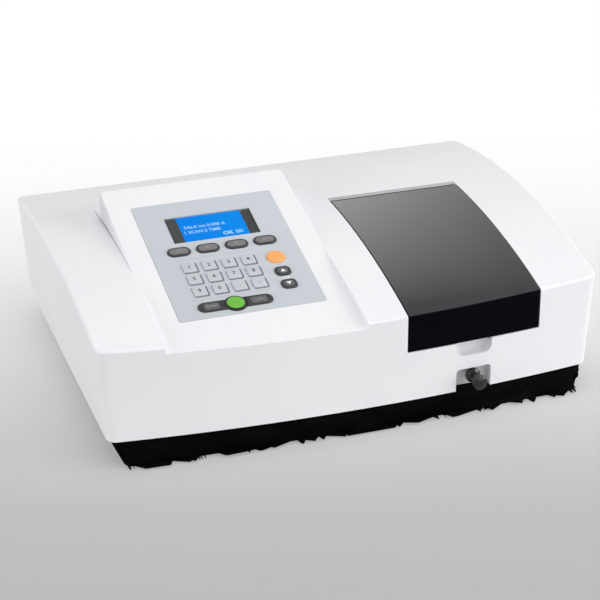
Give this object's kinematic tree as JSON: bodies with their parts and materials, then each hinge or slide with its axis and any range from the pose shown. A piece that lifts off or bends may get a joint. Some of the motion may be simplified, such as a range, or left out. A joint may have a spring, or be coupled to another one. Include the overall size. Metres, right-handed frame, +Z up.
{
  "type": "benchtop spectrophotometer",
  "caption": "Benchtop uv-vis spectrophotometer with a tilted keypad console, hinged sample lid and sliding cell changer.",
  "frame": {"origin": "middle of the whole box at the level of the feet", "axes": "+Z up, +X to the user's right, +Y to the back of the instrument; the console and lid face -Y"},
  "size_m": [0.4632, 0.3572, 0.1601],
  "materials": {
    "cover_white": "fine satin moulding, pale cool white",
    "base_black": "fine matt moulding, black",
    "panel_film": "pale blue grey printed film",
    "window_clear": "smooth clear plate with a dark printed border",
    "display_glass": "blue backlit display",
    "circuit_board": "green lacquered board",
    "key_dark": "dark smooth key with a lighter middle",
    "key_silver": "silver painted key",
    "key_orange": "orange key",
    "key_green": "green key",
    "lid_grey": "dark grey satin lid, nearly black in front",
    "steel": "bright steel",
    "chamber_black": "dull black, no glare",
    "rubber_black": "soft black rubber",
    "black_metal": "black anodised metal",
    "knob_black": "polished black knob",
    "alloy": "cast and milled alloy",
    "optics": "front surface mirror",
    "lens_glass": "clear quartz",
    "port_metal": "plated connector shells",
    "switch_black": "smooth black",
    "panel_metal": "light grey powder coat"
  },
  "bodies": {
    "housing": {"base_tray": "base_black", "upper_cover": "cover_white", "rear_panel": "panel_metal", "keypad_panel": "panel_film", "display_window": "window_clear", "display_module": "display_glass", "keypad_board": "circuit_board", "lid_hinge_pins": "steel", "sample_chamber": "chamber_black", "chamber_seal": "rubber_black", "chamber_lenses": "lens_glass", "carriage_rails": "steel", "detent_spring": "steel", "optical_bench": "alloy", "monochromator_hood": "black_metal", "monochromator_mirrors": "optics", "slit_plates": "black_metal", "stepper_motors": "steel", "lamp_house": "panel_metal", "tungsten_lamp": "lens_glass", "deuterium_lamp": "lens_glass", "detector_unit": "black_metal", "main_board": "circuit_board", "power_supply": "circuit_board", "fan_frame": "chamber_black", "mains_inlet": "switch_black", "data_ports": "port_metal", "rubber_feet": "rubber_black", "cover_screws": "steel"},
    "lid": {"sample_lid": "lid_grey"},
    "carriage": {"cell_carriage": "black_metal", "pull_rod": "steel", "pull_knob": "knob_black"},
    "rocker": {"power_switch": "switch_black"},
    "fan": {"fan_rotor": "chamber_black"},
    "grating": {"grating_table": "alloy"},
    "filters": {"filter_wheel": "black_metal"},
    "lamp_mirror": {"source_mirror": "optics"},
    "function_1_button": {"function_key_1": "key_dark"},
    "function_2_button": {"function_key_2": "key_dark"},
    "function_3_button": {"function_key_3": "key_dark"},
    "function_4_button": {"function_key_4": "key_dark"},
    "square_01_button": {"square_key_01": "key_silver"},
    "square_02_button": {"square_key_02": "key_silver"},
    "square_03_button": {"square_key_03": "key_silver"},
    "square_04_button": {"square_key_04": "key_silver"},
    "square_05_button": {"square_key_05": "key_silver"},
    "square_06_button": {"square_key_06": "key_silver"},
    "square_07_button": {"square_key_07": "key_silver"},
    "square_08_button": {"square_key_08": "key_silver"},
    "square_09_button": {"square_key_09": "key_silver"},
    "square_10_button": {"square_key_10": "key_silver"},
    "square_11_button": {"square_key_11": "key_silver"},
    "square_12_button": {"square_key_12": "key_silver"},
    "stop_button": {"stop_key": "key_orange"},
    "up_button": {"up_key": "key_dark"},
    "down_button": {"down_key": "key_dark"},
    "start_button": {"start_key": "key_green"},
    "return_button": {"return_key": "key_dark"},
    "enter_button": {"enter_key": "key_dark"}
  },
  "joints": [
    {"name": "lid_hinge", "type": "hinge", "parent": "housing", "child": "lid", "pos_m": [0.1065, 0.03109, 0.12757], "axis": [-1, 0, 0], "range_deg": [0, 105]},
    {"name": "carriage_slide", "type": "slide", "parent": "housing", "child": "carriage", "axis": [0, -1, 0], "range_m": [0, 0.06]},
    {"name": "rocker_tilt", "type": "hinge", "parent": "housing", "child": "rocker", "pos_m": [-0.134, 0.17139, 0.062], "axis": [1, 0, 0], "range_deg": [0, 16]},
    {"name": "fan_spin", "type": "hinge", "parent": "housing", "child": "fan", "pos_m": [0.15, 0.16689, 0.068], "axis": [0, 1, 0], "continuous": true},
    {"name": "grating_turn", "type": "hinge", "parent": "housing", "child": "grating", "pos_m": [-0.0047, 0.00959, 0.028], "axis": [0, 0, 1], "range_deg": [-5, 40]},
    {"name": "filter_turn", "type": "hinge", "parent": "housing", "child": "filters", "pos_m": [0.0473, 0.09759, 0.055], "axis": [1, 0, 0], "continuous": true},
    {"name": "lamp_mirror_turn", "type": "hinge", "parent": "housing", "child": "lamp_mirror", "pos_m": [0.1593, 0.08059, 0.028], "axis": [0, 0, 1], "range_deg": [-15, 12]},
    {"name": "function_1_press", "type": "slide", "parent": "housing", "child": "function_1_button", "axis": [0, 0.2426, -0.9701], "range_m": [0, 0.0008], "stiffness_N_per_m": 400},
    {"name": "function_2_press", "type": "slide", "parent": "housing", "child": "function_2_button", "axis": [0, 0.2426, -0.9701], "range_m": [0, 0.0008], "stiffness_N_per_m": 400},
    {"name": "function_3_press", "type": "slide", "parent": "housing", "child": "function_3_button", "axis": [0, 0.2426, -0.9701], "range_m": [0, 0.0008], "stiffness_N_per_m": 400},
    {"name": "function_4_press", "type": "slide", "parent": "housing", "child": "function_4_button", "axis": [0, 0.2426, -0.9701], "range_m": [0, 0.0008], "stiffness_N_per_m": 400},
    {"name": "square_01_press", "type": "slide", "parent": "housing", "child": "square_01_button", "axis": [0, 0.2426, -0.9701], "range_m": [0, 0.0008], "stiffness_N_per_m": 400},
    {"name": "square_02_press", "type": "slide", "parent": "housing", "child": "square_02_button", "axis": [0, 0.2426, -0.9701], "range_m": [0, 0.0008], "stiffness_N_per_m": 400},
    {"name": "square_03_press", "type": "slide", "parent": "housing", "child": "square_03_button", "axis": [0, 0.2426, -0.9701], "range_m": [0, 0.0008], "stiffness_N_per_m": 400},
    {"name": "square_04_press", "type": "slide", "parent": "housing", "child": "square_04_button", "axis": [0, 0.2426, -0.9701], "range_m": [0, 0.0008], "stiffness_N_per_m": 400},
    {"name": "square_05_press", "type": "slide", "parent": "housing", "child": "square_05_button", "axis": [0, 0.2426, -0.9701], "range_m": [0, 0.0008], "stiffness_N_per_m": 400},
    {"name": "square_06_press", "type": "slide", "parent": "housing", "child": "square_06_button", "axis": [0, 0.2426, -0.9701], "range_m": [0, 0.0008], "stiffness_N_per_m": 400},
    {"name": "square_07_press", "type": "slide", "parent": "housing", "child": "square_07_button", "axis": [0, 0.2426, -0.9701], "range_m": [0, 0.0008], "stiffness_N_per_m": 400},
    {"name": "square_08_press", "type": "slide", "parent": "housing", "child": "square_08_button", "axis": [0, 0.2426, -0.9701], "range_m": [0, 0.0008], "stiffness_N_per_m": 400},
    {"name": "square_09_press", "type": "slide", "parent": "housing", "child": "square_09_button", "axis": [0, 0.2426, -0.9701], "range_m": [0, 0.0008], "stiffness_N_per_m": 400},
    {"name": "square_10_press", "type": "slide", "parent": "housing", "child": "square_10_button", "axis": [0, 0.2426, -0.9701], "range_m": [0, 0.0008], "stiffness_N_per_m": 400},
    {"name": "square_11_press", "type": "slide", "parent": "housing", "child": "square_11_button", "axis": [0, 0.2426, -0.9701], "range_m": [0, 0.0008], "stiffness_N_per_m": 400},
    {"name": "square_12_press", "type": "slide", "parent": "housing", "child": "square_12_button", "axis": [0, 0.2426, -0.9701], "range_m": [0, 0.0008], "stiffness_N_per_m": 400},
    {"name": "stop_press", "type": "slide", "parent": "housing", "child": "stop_button", "axis": [0, 0.2426, -0.9701], "range_m": [0, 0.0008], "stiffness_N_per_m": 400},
    {"name": "up_press", "type": "slide", "parent": "housing", "child": "up_button", "axis": [0, 0.2426, -0.9701], "range_m": [0, 0.0008], "stiffness_N_per_m": 400},
    {"name": "down_press", "type": "slide", "parent": "housing", "child": "down_button", "axis": [0, 0.2426, -0.9701], "range_m": [0, 0.0008], "stiffness_N_per_m": 400},
    {"name": "start_press", "type": "slide", "parent": "housing", "child": "start_button", "axis": [0, 0.2426, -0.9701], "range_m": [0, 0.0008], "stiffness_N_per_m": 400},
    {"name": "return_press", "type": "slide", "parent": "housing", "child": "return_button", "axis": [0, 0.2426, -0.9701], "range_m": [0, 0.0008], "stiffness_N_per_m": 400},
    {"name": "enter_press", "type": "slide", "parent": "housing", "child": "enter_button", "axis": [0, 0.2426, -0.9701], "range_m": [0, 0.0008], "stiffness_N_per_m": 400}
  ]
}
